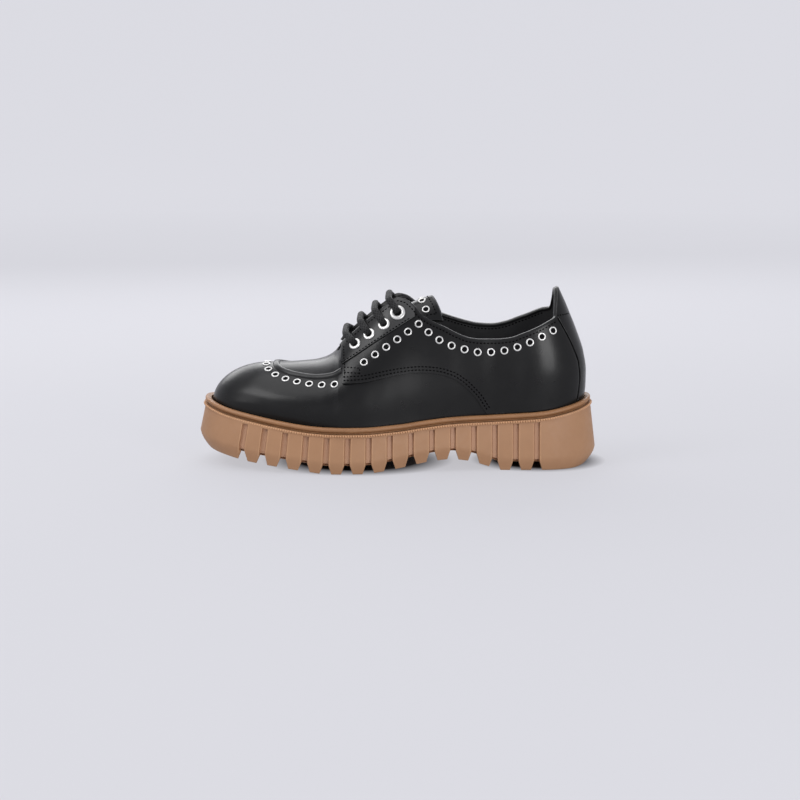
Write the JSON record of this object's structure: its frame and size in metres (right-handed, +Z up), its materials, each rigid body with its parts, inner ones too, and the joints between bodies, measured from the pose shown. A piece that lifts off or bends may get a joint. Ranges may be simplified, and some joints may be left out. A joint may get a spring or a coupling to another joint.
{
  "type": "derby shoe",
  "caption": "Left derby shoe with a smooth black leather upper, raised apron seam, metal eyelets, laces and heel pull tab, on a thick lugged gum-brown platform sole.",
  "frame": {"origin": "middle of the box's underside, on the plane the lugs stand on", "axes": "+X from toe to heel, -Y the outer side of the foot, +Z up"},
  "size_m": [0.28, 0.1034, 0.1234],
  "materials": {
    "gum": "satin gum rubber",
    "gum_welt": "satin gum rubber",
    "leather": "smooth, semi-gloss",
    "lining": "matt lining leather",
    "nickel": "polished nickel plate",
    "cord": "waxed woven lace"
  },
  "bodies": {
    "root": {"outsole": "gum", "welt": "gum_welt", "insole": "lining", "upper": "leather", "quarter_lateral": "leather", "eyestay_lateral": "leather", "lace_eyelet_lateral_1": "nickel", "lace_eyelet_lateral_2": "nickel", "lace_eyelet_lateral_3": "nickel", "lace_eyelet_lateral_4": "nickel", "quarter_medial": "leather", "eyestay_medial": "leather", "lace_eyelet_medial_1": "nickel", "lace_eyelet_medial_2": "nickel", "lace_eyelet_medial_3": "nickel", "lace_eyelet_medial_4": "nickel", "back_strip": "leather", "tongue": "leather", "apron_seam": "leather", "lace_bar_1": "cord", "lace_bar_2": "cord", "lace_bar_3": "cord", "lace_bar_4": "cord"}
  },
  "joints": []
}
